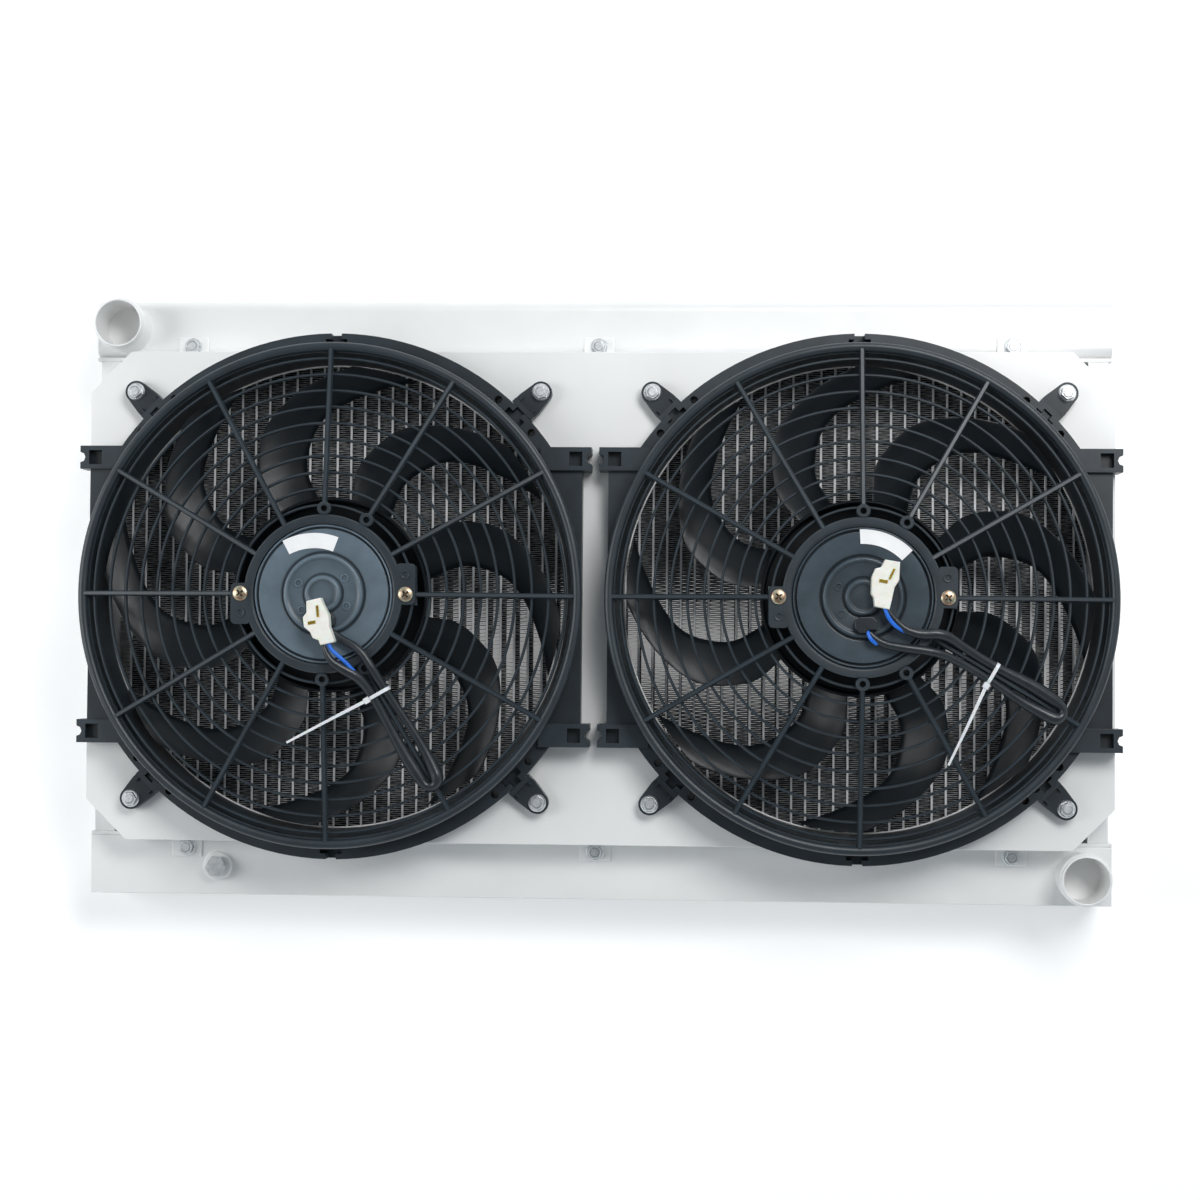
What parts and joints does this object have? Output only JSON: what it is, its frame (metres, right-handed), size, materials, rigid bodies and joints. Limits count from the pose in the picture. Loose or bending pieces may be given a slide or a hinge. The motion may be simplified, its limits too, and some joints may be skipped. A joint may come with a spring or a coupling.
{
  "type": "radiator with electric fans",
  "caption": "Flat-tube aluminium car radiator with side-folded tanks, a sheet-metal fan shroud and slim electric fans under round spoked grilles.",
  "frame": {"origin": "middle of the radiator, in the plane of its back faces, on which it rests", "axes": "+X along the tanks, from the left fan to the right fan; +Y from the bottom tank to the top tank; +Z out of the back towards the fans"},
  "size_m": [0.806, 0.4742, 0.1545],
  "materials": {
    "core_aluminium": "bare, brazed",
    "tank_aluminium": "satin",
    "shroud_aluminium": "bright satin sheet",
    "zinc_steel": "zinc plated",
    "yellow_zinc": "yellow zinc plated",
    "black_nylon": "fine moulded grain",
    "black_paint": "satin black",
    "ferrite": "ground ceramic magnet",
    "bronze": "sintered",
    "shaft_steel": "ground",
    "armature_steel": "laminated core with windings",
    "white_label": "bare sticker",
    "black_rubber": "moulded",
    "lead_sleeve": "smooth sleeve",
    "white_nylon": "moulded",
    "terminal_brass": "bare"
  },
  "bodies": {
    "radiator": {"core_tubes": "core_aluminium", "fin_packs": "core_aluminium", "top_header": "tank_aluminium", "bottom_header": "tank_aluminium", "top_tank": "tank_aluminium", "bottom_tank": "tank_aluminium", "left_side_channel": "tank_aluminium", "right_side_channel": "tank_aluminium", "hose_necks": "tank_aluminium", "drain_plug": "zinc_steel", "fan_shroud": "shroud_aluminium", "shroud_bolts": "zinc_steel", "foot_bolts": "zinc_steel", "mounting_feet": "black_nylon", "left_fan_housing": "black_nylon", "right_fan_housing": "black_nylon", "left_grille": "black_nylon", "right_grille": "black_nylon", "motor_cans": "black_paint", "motor_covers": "black_paint", "motor_magnets": "ferrite", "motor_bushes": "bronze", "motor_screws": "yellow_zinc", "rating_labels": "white_label", "lead_caps": "black_rubber", "left_lead": "lead_sleeve", "right_lead": "lead_sleeve", "lead_plugs": "white_nylon", "plug_terminals": "terminal_brass", "cable_ties": "white_nylon"},
    "left_rotor": {"left_fan_rotor": "black_nylon", "left_armature": "armature_steel", "left_motor_shaft": "shaft_steel"},
    "right_rotor": {"right_fan_rotor": "black_nylon", "right_armature": "armature_steel", "right_motor_shaft": "shaft_steel"}
  },
  "joints": [
    {"name": "left_fan_spin", "type": "hinge", "parent": "radiator", "child": "left_rotor", "pos_m": [-0.2025, 0, 0.1], "axis": [0, 0, 1], "continuous": true},
    {"name": "right_fan_spin", "type": "hinge", "parent": "radiator", "child": "right_rotor", "pos_m": [0.2025, 0, 0.1], "axis": [0, 0, 1], "continuous": true}
  ]
}
